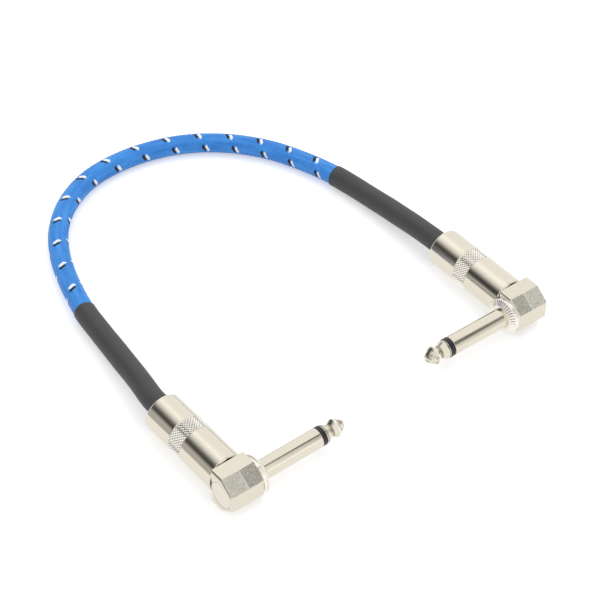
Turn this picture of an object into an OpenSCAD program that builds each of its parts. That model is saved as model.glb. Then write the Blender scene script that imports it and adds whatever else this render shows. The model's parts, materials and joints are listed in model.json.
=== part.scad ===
// Instrument patch cable: one short braided lead with a right-angle 6.35 mm mono
// plug at each end. Each plug is drawn with its barrel along +X, its shaft along +Y
// and the two axes crossing at the origin. The right plug is then turned and set down
// on the floor, and the left plug is the same plug turned over and set down.

/* [Cable] */
// Diameter over the braided jacket
jacket_d = 6.8; // [6:0.1:7.4]
// Wall of the heat-shrink tube over each end of the jacket
shrink_wall = 0.25; // [0.2:0.05:0.5]
// Diameter of the inner rubber sheath
sheath_d = 5.6; // [5:0.1:5.9]
// Diameter of the copper screen
shield_d = 4; // [3.6:0.1:4.6]
// Diameter of the insulation on the inner conductor
dielectric_d = 3; // [2:0.1:3.4]
// Diameter of the inner conductor
conductor_d = 0.9; // [0.5:0.05:0.95]
// Bare conductor that shows in front of its insulation
bare_len = 1.9; // [1.2:0.1:2.2]
// Insulation that shows in front of the screen
dielectric_len = 6; // [4:0.5:7]
// Screen that shows in front of the sheath
shield_len = 2; // [1.4:0.2:3]
// Sheath that shows in front of the heat-shrink tube
sheath_len = 4; // [3:0.5:5]
// Diameter of the twisted tail that joins the screen to the clamp
tail_d = 1; // [0.6:0.1:1.2]

/* [Barrel] */
// Length of the barrel
barrel_len = 31.7; // [31:0.1:40]
// Wall of the barrel round its liner
barrel_wall = 1.53; // [1.2:0.01:2.2]
// Thickness of the barrel's rear wall
rear_wall = 2; // [1:0.1:3]
// Bevel on the barrel's front edge
front_bevel = 0.4; // [0.2:0.05:0.6]
// Radius of the barrel's rear edge
rear_round = 0.7; // [0.3:0.1:1]
// Distance from the barrel's rear end to the knurled band
knurl_from_rear = 11.8; // [8:0.1:14]
// Width of the knurled band
knurl_w = 5.2; // [4:0.1:8]
// Number of diamonds round the knurled band
knurl_around = 40; // [30:1:48]
// Number of rows of diamonds across the knurled band
knurl_rows = 5; // [3:1:7]
// Depth of the knurl
knurl_depth = 0.3; // [0.2:0.05:0.35]
// Number of turns that take the barrel off its thread
thread_turns = 5; // [4:1:6]
// Distance that the barrel moves in one turn
thread_pitch = 1; // [0.75:0.05:1]
// Wall of the insulating liner inside the barrel
liner_wall = 0.5; // [0.3:0.05:0.8]

/* [Elbow] */
// Distance from the shaft's axis line back to the elbow's capped end, along the shaft
elbow_back = 6.3; // [5.8:0.1:7]
// Distance from the barrel's axis forward to the elbow's shaft end
elbow_front = 5.6; // [5.4:0.1:7]
// Metal left between the cap's seat and the face under the barrel
face_wall = 0.3; // [0.2:0.05:1]
// Metal left between the cap's seat and the elbow's outer side
side_wall = 0.9; // [0.6:0.05:2]
// Height of the flat outer side
side_h = 6; // [4:0.1:8]
// Width of the flat top and bottom, measured from the face under the barrel
flat_w = 5.1; // [4:0.1:7]
// Chamfer round the two ends of the elbow
end_chamfer = 0.45; // [0.2:0.05:0.7]
// Depth taken off the edges between the facets
edge_break = 0.05; // [0.02:0.01:0.1]
// Draft of the cast facets each way from the parting line, in degrees
draft = 1; // [0:0.25:2]
// Length of the neck besides its thread
neck_plain = 1.1; // [0.8:0.1:1.5]
// Wall of the neck
neck_wall = 1.1; // [0.8:0.05:1.4]
// Wall of the elbow's shaft end, which holds the shaft's spigot
front_wall = 3.1; // [2.5:0.1:3.6]
// Diameter of the cap that closes the elbow
cap_d = 8.6; // [8.2:0.1:9.6]
// Distance that the cap's centre lies from the shaft's axis line, away from the barrel
cap_offset = 0.45; // [0.3:0.05:0.6]
// Thickness of the cap
cap_t = 1.2; // [0.8:0.1:1.6]
// Width of the ledge that the cap rests on, where it is narrowest
cap_ledge = 0.3; // [0.2:0.05:0.5]

/* [Plug shaft] */
// Diameter of the plug's shaft
sleeve_d = 6.35; // [6:0.01:6.6]
// Length of the sleeve from the collar to the black ring
sleeve_len = 21; // [18:0.5:24]
// Wall of the sleeve
sleeve_wall = 0.875; // [0.7:0.025:1]
// Diameter of the serrated collar
collar_d = 12; // [10:0.1:13]
// Length of the collar's plain rear band
collar_band = 0.45; // [0.3:0.05:1.5]
// Length of the collar's serrated bevel
bevel_len = 1.1; // [1:0.1:2]
// Width of the flat front of the collar
collar_front = 1; // [0.6:0.1:1.6]
// Gap between the collar's rim and the barrel or the elbow, whichever comes nearer
collar_gap = 0.15; // [0.1:0.05:0.8]
// Number of serrations round the collar
serrations = 36; // [24:1:40]
// Depth of the serrations
serration_depth = 0.4; // [0.2:0.05:0.5]
// Width of the black ring between sleeve and tip
ring_w = 1.7; // [1:0.1:2.5]
// Length of the tip
tip_len = 8; // [7.5:0.1:9]
// Diameter of the tip's neck, where the jack's spring holds it
tip_neck_d = 4.1; // [3.6:0.1:4.6]
// Diameter of the rod that joins the tip to its lug
rod_d = 2.4; // [1.8:0.1:2.8]
// Thickness of the insulating washer behind the shaft
washer_t = 1; // [0.6:0.1:1.2]
// Thickness of the tip's solder lug
lug_t = 0.5; // [0.3:0.05:0.5]
// Thickness of the strip that the cable clamp is bent from
strip_t = 0.55; // [0.4:0.05:0.8]

/* [Layout] */
// Right plug's axis crossing, left to right
right_x = 53.4; // [50:0.1:60]
// Right plug's axis crossing, front to back
right_y = 24.8; // [20:0.1:30]
// Direction of the right barrel, in degrees from +X
right_yaw = 127.5; // [120:0.5:135]
// Left plug's axis crossing, left to right
left_x = -33.6; // [-40:0.1:-30]
// Left plug's axis crossing, front to back
left_y = -49.6; // [-55:0.1:-45]
// Direction of the left barrel, in degrees from +X
left_yaw = 128.5; // [120:0.5:135]

/* [Hidden] */
$fn = 96;

// Clearances
press_gap = 0.02;    // pieces pressed together
slip_gap = 0.05;     // pieces pushed together by hand
thread_gap = 0.07;   // barrel on the neck's thread
turn_gap = 0.1;      // barrel round its liner
liner_gap = 0.15;    // liner round the clamp
cable_gap = 0.75;    // barrel's rear hole round the cable
face_gap = 0.7;      // barrel's front edge to the elbow
floor_gap = 0.1;     // barrel above the floor that the elbow stands on

// Radii from the cable outwards
jacket_r = jacket_d / 2;
shrink_r = jacket_r + shrink_wall;
ear_r = shrink_r + press_gap;
ear_out_r = ear_r + strip_t;
liner_r = ear_out_r + liner_gap;
liner_out_r = liner_r + liner_wall;
bore_r = liner_out_r + turn_gap;
barrel_r = bore_r + barrel_wall;
neck_r = bore_r - thread_gap;
neck_bore_r = neck_r - neck_wall;
tongue_out_r = neck_bore_r - slip_gap;
tongue_r = tongue_out_r - strip_t;
axis_h = barrel_r + floor_gap;

// Radii from the shaft's axis outwards
rod_r = rod_d / 2;
sleeve_r = sleeve_d / 2;
sleeve_bore_r = sleeve_r - sleeve_wall;
cap_r = cap_d / 2;
cap_seat_r = cap_r + slip_gap;
chamber_r = cap_seat_r - cap_offset - cap_ledge;
washer_r = chamber_r - 0.3;
spigot_hole_r = chamber_r - 0.6;
collar_r = collar_d / 2;
bevel_r = sleeve_r + collar_front;

// Places along the barrel's axis
elbow_face = cap_seat_r - cap_offset + face_wall;
elbow_side = cap_seat_r + cap_offset + side_wall;
barrel_front = elbow_face + face_gap;
barrel_rear = barrel_front + barrel_len;
travel = thread_turns * thread_pitch;
neck_end = elbow_face + travel + neck_plain;
lug_bend = rod_r + 0.8;
conductor_start = lug_bend - 0.4;
dielectric_start = conductor_start + bare_len;
shield_start = dielectric_start + dielectric_len;
sheath_start = shield_start + shield_len;
cable_start = sheath_start + sheath_len;
ears_start = cable_start + 0.5;
ears_end = ears_start + 3.5;
liner_start = neck_end + 1.2;
liner_end = barrel_rear - rear_wall - 0.2;

// Places along the shaft's axis
chamber_floor = elbow_front - front_wall;
collar_start = max(elbow_front, barrel_r) + collar_gap;
bevel_start = collar_start + collar_band;
sleeve_start = bevel_start + bevel_len;
ring_start = sleeve_start + sleeve_len;
tip_start = ring_start + ring_w;
tip_end = tip_start + tip_len;
washer_start = chamber_floor - washer_t;
lug_start = washer_start - lug_t;
rivet_start = lug_start - 0.5;
rod_end = tip_start + 1.6;

// Finishes
nickel = [0.86, 0.83, 0.77];
brass = [0.80, 0.66, 0.36];
copper = [0.76, 0.45, 0.28];
black = [0.10, 0.10, 0.11];
shrink_grey = [0.22, 0.22, 0.23];
fibre_red = [0.55, 0.22, 0.16];
milky = [0.90, 0.90, 0.86];
blue = [0.16, 0.46, 0.84];

// Route of the cable's axis from the right plug to the left one. The end points lie
// on the barrels' axes, straight for as long as the barrels need to slide back. The
// left cable leans to one side in its barrel's rear hole.
cable_sides = 12;
straight_near = 2;
straight_far = travel + 1;
lean_side = 0.6;     // towards the shaft
lean_up = 0.25;
lean_start = ears_end + 0.5;
right_shrink_points = 5;
left_shrink_points = 7;
function on_right(u) = [right_x + u * cos(right_yaw), right_y + u * sin(right_yaw), axis_h];
function on_left(u, side = 0, up = 0) = [
    left_x + u * cos(left_yaw) + side * sin(left_yaw),
    left_y + u * sin(left_yaw) - side * cos(left_yaw),
    axis_h + up
];
route = [
    on_right(cable_start),
    on_right(barrel_rear + straight_near),
    on_right(barrel_rear + straight_far),
    [17.5, 71.5, 5.2],
    [7, 84, 3.9],
    [-3.7, 94.7, 3.7],
    [-15.5, 103.5, 3.5],
    [-27, 109.5, 3.5],
    [-40.5, 113, 3.5],
    [-54, 113, 3.5],
    [-66.5, 109.5, 3.5],
    [-78.5, 102.5, 3.5],
    [-88, 93, 3.5],
    [-94, 80.5, 3.5],
    [-96, 67, 3.5],
    [-94.5, 54, 3.5],
    [-90.5, 41, 3.5],
    [-83.9, 26.1, 3.7],
    [-76, 13, 3.9],
    [-67.5, -1.5, 5.2],
    [-63.4, -8.9, 6.2],
    on_left(barrel_rear + straight_far, lean_side, lean_up),
    on_left(barrel_rear + straight_near, lean_side, lean_up),
    on_left(lean_start),
    on_left(cable_start)
];
last_point = len(route) - 1;

// ---- Placing ----

module right_plug() {
    translate([right_x, right_y, axis_h]) rotate([0, 0, right_yaw]) children();
}

module left_plug() {
    translate([left_x, left_y, axis_h]) rotate([0, 0, left_yaw]) rotate([180, 0, 0]) children();
}

// What is drawn upright lies along the barrel or along the shaft.
module along_barrel() {
    rotate([0, 90, 0]) children();
}

module along_shaft() {
    rotate([-90, 0, 0]) children();
}

module tube(r_in, r_out, start, end) {
    rotate_extrude() polygon([[r_in, start], [r_out, start], [r_out, end], [r_in, end]]);
}

module rod(r, start, end) {
    translate([0, 0, start]) cylinder(r = r, h = end - start);
}

// ---- Barrel ----

// Half the outline of the barrel, with a groove under the knurled band
module barrel_outline() {
    knurl_end = barrel_rear - knurl_from_rear;
    knurl_start = knurl_end - knurl_w;
    groove_r = barrel_r - knurl_depth - 0.1;
    round_z = barrel_rear - rear_round;
    hole_r = shrink_r + cable_gap;
    polygon(concat(
        [
            [bore_r, barrel_front],
            [barrel_r - front_bevel, barrel_front],
            [barrel_r, barrel_front + front_bevel],
            [barrel_r, knurl_start],
            [groove_r, knurl_start],
            [groove_r, knurl_end],
            [barrel_r, knurl_end]
        ],
        [for (a = [0 : 15 : 90]) [barrel_r - rear_round * (1 - cos(a)), round_z + rear_round * sin(a)]],
        [
            [hole_r, barrel_rear],
            [hole_r, barrel_rear - rear_wall],
            [bore_r, barrel_rear - rear_wall]
        ]
    ));
}

// Diamond knurl: a ring whose points stand on a grid with two columns and two rows to
// each diamond. Every second point is a peak, and each square of the grid is folded
// along the groove between two diamonds. The ring's ends and inside lie in the wall.
module knurl_ring(start) {
    columns = 2 * knurl_around;
    rows = 2 * knurl_rows;
    sunk = 0.2;
    peak_r = barrel_r + 0.05;
    groove_r = peak_r - knurl_depth;
    inner_r = groove_r - 0.35;
    step = knurl_w / rows;
    rings = concat(
        [[start - sunk, groove_r, groove_r]],
        [for (j = [0 : rows]) [start + j * step, groove_r, (j == 0 || j == rows) ? groove_r : peak_r]],
        [[start + knurl_w + sunk, groove_r, groove_r]],
        [[start + knurl_w + sunk, inner_r, inner_r]],
        [[start - sunk, inner_r, inner_r]]
    );
    count = len(rings);
    points = [
        for (j = [0 : count - 1], i = [0 : columns - 1])
            let (r = (i + j) % 2 == 0 ? rings[j][2] : rings[j][1], a = i * 360 / columns)
            [r * cos(a), r * sin(a), rings[j][0]]
    ];
    function at(i, j) = (j % count) * columns + i % columns;
    folded = [
        for (j = [1 : rows], i = [0 : columns - 1], half = [0, 1])
            (i + j) % 2 == 0
                ? (half == 0 ? [at(i, j), at(i, j + 1), at(i + 1, j)]
                             : [at(i + 1, j), at(i, j + 1), at(i + 1, j + 1)])
                : (half == 0 ? [at(i, j), at(i + 1, j + 1), at(i + 1, j)]
                             : [at(i, j), at(i, j + 1), at(i + 1, j + 1)])
    ];
    plain = [
        for (j = [0, each [rows + 1 : count - 1]], i = [0 : columns - 1])
            [at(i, j), at(i, j + 1), at(i + 1, j + 1), at(i + 1, j)]
    ];
    polyhedron(points = points, faces = concat(folded, plain));
}

module barrel() {
    color(nickel) along_barrel() {
        rotate_extrude() barrel_outline();
        knurl_ring(barrel_rear - knurl_from_rear - knurl_w);
    }
}

module liner() {
    color(milky) along_barrel() tube(liner_r, liner_out_r, liner_start, liner_end);
}

// ---- Elbow ----

// The elbow's faces in order round its long axis: direction in degrees from the barrel
// towards the top, distance from the axis crossing, and share of the cast draft.
flat_edge = elbow_face - flat_w;
facet_run = elbow_side + flat_edge;
facet_fall = axis_h - side_h / 2;
facet_angle = 180 - atan2(facet_run, facet_fall);
facet_distance = elbow_side * -cos(facet_angle) + side_h / 2 * sin(facet_angle);
elbow_faces = [
    [0, elbow_face, 0],
    [90, axis_h, 0],
    [facet_angle, facet_distance, 1],
    [180, elbow_side, 1],
    [360 - facet_angle, facet_distance, 1],
    [270, axis_h, 0],
    [360, elbow_face, 0]
];

// All the space on the inner side of one face, with the face's draft and end chamfers
module under_face(face) {
    span = 20;
    fall = face[2] * tan(draft);
    d = face[1];
    rotate([0, 90 - face[0], 0])
        rotate([90, 0, 90])
            linear_extrude(height = 2 * span, center = true)
                polygon([
                    [-elbow_back, -span],
                    [-elbow_back, d - fall * elbow_back - end_chamfer],
                    [-elbow_back + end_chamfer, d - fall * (elbow_back - end_chamfer)],
                    [0, d],
                    [elbow_front - end_chamfer, d - fall * (elbow_front - end_chamfer)],
                    [elbow_front, d - fall * elbow_front - end_chamfer],
                    [elbow_front, -span]
                ]);
}

// The narrow face that breaks the edge between two neighbouring faces
function edge_face(a, b) = [
    (a[0] + b[0]) / 2,
    (a[1] + b[1]) / 2 / cos((b[0] - a[0]) / 2) - edge_break,
    (a[2] + b[2]) / 2 / cos((b[0] - a[0]) / 2)
];

module elbow_block() {
    intersection_for (i = [0 : len(elbow_faces) - 2])
        intersection() {
            under_face(elbow_faces[i]);
            under_face(edge_face(elbow_faces[i], elbow_faces[i + 1]));
        }
}

module elbow() {
    root = elbow_face - 1;
    lead = 0.4;
    color(nickel) difference() {
        union() {
            elbow_block();
            along_barrel() rotate_extrude() polygon([
                [0, root],
                [neck_r, root],
                [neck_r, neck_end - lead],
                [neck_r - lead, neck_end],
                [0, neck_end]
            ]);
        }
        along_barrel() rod(neck_bore_r, 0, neck_end + 1);
        along_shaft() {
            rod(chamber_r, -elbow_back - 1, chamber_floor);
            translate([-cap_offset, 0, 0]) rod(cap_seat_r, -elbow_back - 1, cap_t - elbow_back);
            rod(spigot_hole_r, chamber_floor - 1, elbow_front + 1);
        }
    }
}

module elbow_cap() {
    break = 0.15;
    color(nickel) along_shaft() translate([-cap_offset, 0, 0]) rotate_extrude() polygon([
        [0, -elbow_back],
        [cap_r - break, -elbow_back],
        [cap_r, -elbow_back + break],
        [cap_r, cap_t - elbow_back],
        [0, cap_t - elbow_back]
    ]);
}

// ---- Shaft ----

// V-grooves cut along the collar's bevel
module collar_grooves() {
    slope = atan2(collar_r - bevel_r, bevel_len);
    length = norm([collar_r - bevel_r, bevel_len]);
    reach = 0.5;
    half_w = 0.33 * (serration_depth + reach) / serration_depth;
    for (i = [0 : serrations - 1])
        rotate([0, 0, i * 360 / serrations])
            translate([collar_r, 0, bevel_start])
                rotate([0, -slope, 0])
                    translate([0, 0, -reach])
                        linear_extrude(height = length + reach + 0.3)
                            polygon([[-serration_depth, 0], [reach, -half_w], [reach, half_w]]);
}

// The boss between elbow and collar has a flat, level with the elbow's face under the barrel
module sleeve() {
    spigot_r = spigot_hole_r - press_gap;
    boss_r = collar_r - 0.4;
    break = 0.1;
    color(nickel) along_shaft() difference() {
        rotate_extrude() polygon([
            [sleeve_bore_r, chamber_floor],
            [spigot_r, chamber_floor],
            [spigot_r, elbow_front],
            [boss_r, elbow_front],
            [boss_r, collar_start],
            [collar_r, collar_start],
            [collar_r, bevel_start],
            [bevel_r, sleeve_start],
            [sleeve_r, sleeve_start],
            [sleeve_r, ring_start - break],
            [sleeve_r - break, ring_start],
            [sleeve_bore_r, ring_start]
        ]);
        collar_grooves();
        translate([elbow_face, -collar_r, elbow_front])
            cube([collar_r, 2 * collar_r, collar_start - elbow_front]);
    }
}

// Moulded ring, a little smaller than the sleeve and drafted towards the tip
module insulator_ring() {
    ring_r = sleeve_r - 0.02;
    mould_draft = 0.02;
    color(black) along_shaft() rotate_extrude() polygon([
        [rod_r + slip_gap, ring_start],
        [ring_r, ring_start],
        [ring_r - mould_draft, tip_start],
        [rod_r + slip_gap, tip_start]
    ]);
}

module inner_insulator() {
    color(black) along_shaft()
        tube(rod_r + slip_gap, sleeve_bore_r - slip_gap, chamber_floor, ring_start);
}

// Detented tip: a grooved shoulder, the catch that narrows to the neck, the head and
// the rounded nose, bored from behind for the rod
module tip() {
    hole_r = rod_r + press_gap;
    shoulder_r = sleeve_r - 0.175;
    head_r = sleeve_r - 0.125;
    neck_r = tip_neck_d / 2;
    nose_r = 1.5;
    nose_z = tip_end - 0.7;
    groove_z = tip_start + 0.3;
    groove = 0.12;
    color(nickel) along_shaft() rotate_extrude() polygon(concat(
        [
            [0, rod_end],
            [hole_r, rod_end],
            [hole_r, tip_start],
            [shoulder_r, tip_start],
            [shoulder_r, groove_z],
            [shoulder_r - groove, groove_z + groove],
            [shoulder_r, groove_z + 2 * groove],
            [shoulder_r, tip_start + 0.9],
            [neck_r, tip_start + 2.7],
            [neck_r, tip_start + 3],
            [head_r - 0.35, tip_start + 3.95],
            [head_r - 0.03, tip_start + 4.5],
            [head_r, tip_start + 4.65],
            [head_r - 0.03, tip_start + 4.8],
            [head_r - 0.15, tip_start + 5.1]
        ],
        [for (a = [35 : 11 : 90]) [
            nose_r * cos(a) / cos(35),
            nose_z + (tip_end - nose_z) * (sin(a) - sin(35)) / (1 - sin(35))
        ]]
    ));
}

// ---- Inside the plug ----

module centre_rod() {
    color(brass) along_shaft() {
        rod(rod_r, rivet_start, rod_end);
        rod(rod_r + 0.6, rivet_start, lug_start);
    }
}

module rear_washer() {
    color(fibre_red) along_shaft() tube(rod_r + slip_gap, washer_r, washer_start, chamber_floor);
}

// A ring under the rivet with a tab bent back, which the conductor passes through
module tip_lug() {
    tab_w = 2;
    tab_back = 1.5;
    color(brass) {
        along_shaft() tube(rod_r + slip_gap, lug_bend + lug_t + 0.3, lug_start, washer_start);
        difference() {
            translate([lug_bend, -tab_back, -tab_w / 2]) cube([lug_t, tab_back + washer_start, tab_w]);
            along_barrel() rod(conductor_d / 2 + slip_gap, lug_bend - 1, lug_bend + lug_t + 1);
        }
    }
}

// Strip held in the neck, stepped out past it to the two ears that close round the cable:
// one bent sheet, from which all but the strip is cut away in front of the ears
module cable_clamp() {
    strip_angle = 40;
    ear_angle = 300;
    step_start = liner_start + 1.5;
    strip_start = elbow_face + 0.8;
    color(nickel) along_barrel() difference() {
        rotate([0, 0, -ear_angle / 2]) rotate_extrude(angle = ear_angle) polygon([
            [tongue_r, strip_start],
            [tongue_out_r, strip_start],
            [tongue_out_r, step_start],
            [ear_out_r, step_start],
            [ear_out_r, ears_end],
            [ear_r, ears_end],
            [ear_r, step_start + strip_t],
            [tongue_r, step_start + strip_t]
        ]);
        rotate([0, 0, strip_angle / 2]) rotate_extrude(angle = 360 - strip_angle) polygon([
            [tongue_r / 2, strip_start - 1],
            [ear_out_r + 1, strip_start - 1],
            [ear_out_r + 1, ears_start],
            [tongue_r / 2, ears_start]
        ]);
    }
}

// ---- Stripped cable end ----

module conductor() {
    color(copper) along_barrel() rod(conductor_d / 2, conductor_start, dielectric_start);
}

module dielectric() {
    color(milky) along_barrel() rod(dielectric_d / 2, dielectric_start, shield_start);
}

module shield() {
    middle = (shield_start + sheath_start) / 2;
    color(copper) {
        along_barrel() rod(shield_d / 2, shield_start, sheath_start);
        translate([middle, 0, 0]) rotate([180, 0, 0]) rod(tail_d / 2, 0, tongue_r - 2 * slip_gap);
    }
}

module sheath() {
    color(black) along_barrel() rod(sheath_d / 2, sheath_start, cable_start);
}

// ---- Free cable ----

function unit(v) = v / norm(v);
function heading(i) = unit(route[min(i + 1, last_point)] - route[max(i - 1, 0)]);

// One ring of points square to the route at its point i
function cable_ring(i, r) =
    let (ahead = heading(i), side = unit(cross([0, 0, 1], ahead)), up = cross(ahead, side))
    [for (k = [0 : cable_sides - 1])
        let (a = (k + 0.5) * 360 / cable_sides)
        route[i] + r * cos(a) * side + r * sin(a) * up];

module cable_tube(r, first, last) {
    spans = last - first;
    points = [for (i = [first : last]) each cable_ring(i, r)];
    walls = [
        for (i = [0 : spans - 1], k = [0 : cable_sides - 1], half = [0, 1])
            let (
                here = i * cable_sides + k,
                beside = i * cable_sides + (k + 1) % cable_sides
            )
            half == 0 ? [here, here + cable_sides, beside]
                      : [beside, here + cable_sides, beside + cable_sides]
    ];
    ends = [
        [for (k = [0 : cable_sides - 1]) k],
        [for (k = [cable_sides - 1 : -1 : 0]) spans * cable_sides + k]
    ];
    polyhedron(points = points, faces = concat(walls, ends));
}

module right_heat_shrink() {
    color(shrink_grey) cable_tube(shrink_r, 0, right_shrink_points);
}

module left_heat_shrink() {
    color(shrink_grey) cable_tube(shrink_r, last_point - left_shrink_points, last_point);
}

module braided_jacket() {
    color(blue) cable_tube(jacket_r, right_shrink_points, last_point - left_shrink_points);
}

right_plug() barrel();  // right_barrel
right_plug() liner();  // right_liner
right_plug() elbow();  // right_elbow
right_plug() elbow_cap();  // right_elbow_cap
right_plug() sleeve();  // right_sleeve
right_plug() insulator_ring();  // right_insulator_ring
right_plug() inner_insulator();  // right_inner_insulator
right_plug() tip();  // right_tip
right_plug() centre_rod();  // right_centre_rod
right_plug() rear_washer();  // right_rear_washer
right_plug() tip_lug();  // right_tip_lug
right_plug() cable_clamp();  // right_cable_clamp
right_heat_shrink();
right_plug() sheath();  // right_sheath
right_plug() shield();  // right_shield
right_plug() dielectric();  // right_dielectric
right_plug() conductor();  // right_conductor
left_plug() barrel();  // left_barrel
left_plug() liner();  // left_liner
left_plug() elbow();  // left_elbow
left_plug() elbow_cap();  // left_elbow_cap
left_plug() sleeve();  // left_sleeve
left_plug() insulator_ring();  // left_insulator_ring
left_plug() inner_insulator();  // left_inner_insulator
left_plug() tip();  // left_tip
left_plug() centre_rod();  // left_centre_rod
left_plug() rear_washer();  // left_rear_washer
left_plug() tip_lug();  // left_tip_lug
left_plug() cable_clamp();  // left_cable_clamp
left_heat_shrink();
left_plug() sheath();  // left_sheath
left_plug() shield();  // left_shield
left_plug() dielectric();  // left_dielectric
left_plug() conductor();  // left_conductor
braided_jacket();
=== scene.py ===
import json
import math

import bmesh
import bpy
import numpy as np
from mathutils import Matrix, Vector


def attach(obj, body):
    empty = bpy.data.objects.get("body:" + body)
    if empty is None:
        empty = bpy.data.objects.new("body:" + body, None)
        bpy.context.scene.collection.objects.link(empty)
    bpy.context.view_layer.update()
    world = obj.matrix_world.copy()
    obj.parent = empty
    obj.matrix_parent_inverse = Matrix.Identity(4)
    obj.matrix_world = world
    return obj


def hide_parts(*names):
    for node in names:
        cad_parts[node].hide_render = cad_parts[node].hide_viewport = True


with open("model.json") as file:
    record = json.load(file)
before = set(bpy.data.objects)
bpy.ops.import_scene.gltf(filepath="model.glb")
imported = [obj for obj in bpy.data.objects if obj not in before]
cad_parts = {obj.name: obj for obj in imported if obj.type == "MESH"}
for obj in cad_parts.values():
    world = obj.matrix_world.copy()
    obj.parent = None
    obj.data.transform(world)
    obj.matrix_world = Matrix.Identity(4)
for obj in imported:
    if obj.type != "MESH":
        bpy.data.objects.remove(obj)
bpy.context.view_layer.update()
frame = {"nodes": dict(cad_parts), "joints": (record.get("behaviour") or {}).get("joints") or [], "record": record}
mm = 0.001


def addObject(name, data):
    made = bpy.data.objects.new(name, data)
    bpy.context.scene.collection.objects.link(made)
    return made


# Camera

camera = {
    "place": (-0.0158, -0.3974, 0.3958),
    "target": (-0.0158, 0.03535, 0),
    "lens": 109.5,
}


def makeCamera():
    data = bpy.data.cameras.new("camera")
    data.lens = camera["lens"]
    data.clip_start = 0.01
    data.clip_end = 50
    view = addObject("camera", data)
    place = Vector(camera["place"])
    view.location = place
    view.rotation_euler = (Vector(camera["target"]) - place).to_track_quat("-Z", "Y").to_euler()
    bpy.context.scene.camera = view


makeCamera()
print("camera is set")


# Where the plugs are

# A plug's own axes: x along the barrel towards the cable, y along the shaft towards the tip
def plugPlace(side):
    joint = next(j for j in frame["joints"] if j["name"] == side + "_barrel_unscrew")
    mount = next(m for m in frame["record"]["mounts"] if m["name"] == side + "_plug")
    alongBarrel = Vector(joint["axis"]).normalized()
    alongShaft = Vector(mount["axis"]).normalized()
    onBarrel = Vector(joint["pos_m"])
    crossing = onBarrel + alongBarrel * (Vector(mount["pos_m"]) - onBarrel).dot(alongBarrel)
    turn = Matrix((alongBarrel, alongShaft, alongBarrel.cross(alongShaft))).transposed()
    return Matrix.Translation(crossing) @ turn.to_4x4()


plugs = {side: plugPlace(side) for side in ("right", "left")}


# Lowest and highest corner of a plug's CAD node on those axes, in millimetres
def reach(node):
    back = plugs["right"].inverted()
    points = [back @ v.co / mm for v in frame["nodes"]["right_" + node].data.vertices]
    return [[pick(p[i] for p in points) for i in range(3)] for pick in (min, max)]


# Shader maths

def operator(name):
    return lambda wire, other: wire.sum(name, other)


class Wire:  # one output of a node, on which sums are written as sums
    __add__ = __radd__ = operator("ADD")
    __sub__ = operator("SUBTRACT")
    __mul__ = __rmul__ = operator("MULTIPLY")
    __truediv__ = operator("DIVIDE")
    __mod__ = operator("FLOORED_MODULO")
    __lt__ = operator("LESS_THAN")
    __gt__ = operator("GREATER_THAN")

    def __init__(self, look, socket):
        self.look = look
        self.socket = socket

    def __abs__(self):
        return self.sum("ABSOLUTE")

    def __rsub__(self, other):
        return self.look.node("Math", {"operation": "SUBTRACT"}, [other, self])

    def sum(self, operation, *others):
        return self.look.node("Math", {"operation": operation}, [self, *others])


class Look:  # the nodes of one material, or of the world
    def __init__(self, name, owner=None):
        self.owner = owner or bpy.data.materials.new(name)
        self.owner.use_nodes = True
        self.tree = self.owner.node_tree
        self.tree.nodes.clear()

    def node(self, kind, settings, sockets, output=0):
        made = self.tree.nodes.new("ShaderNode" + kind)
        for key, value in settings.items():
            setattr(made, key, value)
        named = sockets.items() if isinstance(sockets, dict) else enumerate(sockets)
        for key, value in named:
            socket = made.inputs[key]
            if isinstance(value, Wire):
                self.tree.links.new(value.socket, socket)
            elif isinstance(value, tuple) and socket.type == "RGBA":
                socket.default_value = (*value, 1)
            else:
                socket.default_value = value
        return Wire(self, made.outputs[output]) if made.outputs else None

    def mix(self, share, first, second):  # of two colours
        return self.node("Mix", {"data_type": "RGBA"}, {0: share, 6: first, 7: second}, 2)

    def place(self, scale=1):  # the piece's own coordinates, in millimetres times scale
        own = self.node("TexCoord", {}, [], "Object")
        return self.node("VectorMath", {"operation": "SCALE"}, {0: own, "Scale": scale / mm})

    def ramp(self, value, stops):  # from (position, tone) to the next
        made = self.node("ValToRGB", {}, [value])
        elements = made.socket.node.color_ramp.elements
        while len(elements) < len(stops):
            elements.new(0.5)
        for element, (position, tone) in zip(elements, stops):
            element.position = position
            element.color = (tone, tone, tone, 1)
        return made

    def noise(self, where, scale, detail=3, roughness=0.5):
        sockets = {"Vector": where, "Scale": scale, "Detail": detail, "Roughness": roughness}
        return self.node("TexNoise", {}, sockets, "Fac")

    def split(self, vector, axis):
        return self.node("SeparateXYZ", {}, [vector], axis)

    def axes(self, vector):
        return [self.split(vector, axis) for axis in "XYZ"]

    def radius(self, first, second):
        return (first * first + second * second).sum("SQRT")

    def ray(self, kind):  # 1 for rays of this kind: Camera or Glossy
        return self.node("LightPath", {}, [], "Is " + kind + " Ray")

    def step(self, value, start, end):  # a soft step from 0 at the start to 1 at the end
        return self.node("MapRange", {"interpolation_type": "SMOOTHSTEP"}, [value, start, end])

    def bump(self, height, distance, strength):
        sockets = {"Height": height, "Distance": distance, "Strength": strength}
        return self.node("Bump", {}, sockets)

    def surface(self, shader, kind="Material"):
        self.node("Output" + kind, {}, {"Surface": shader})
        return self.owner

    def finish(self, sockets):
        return self.surface(self.node("BsdfPrincipled", {}, sockets))


# Mesh building

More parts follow.
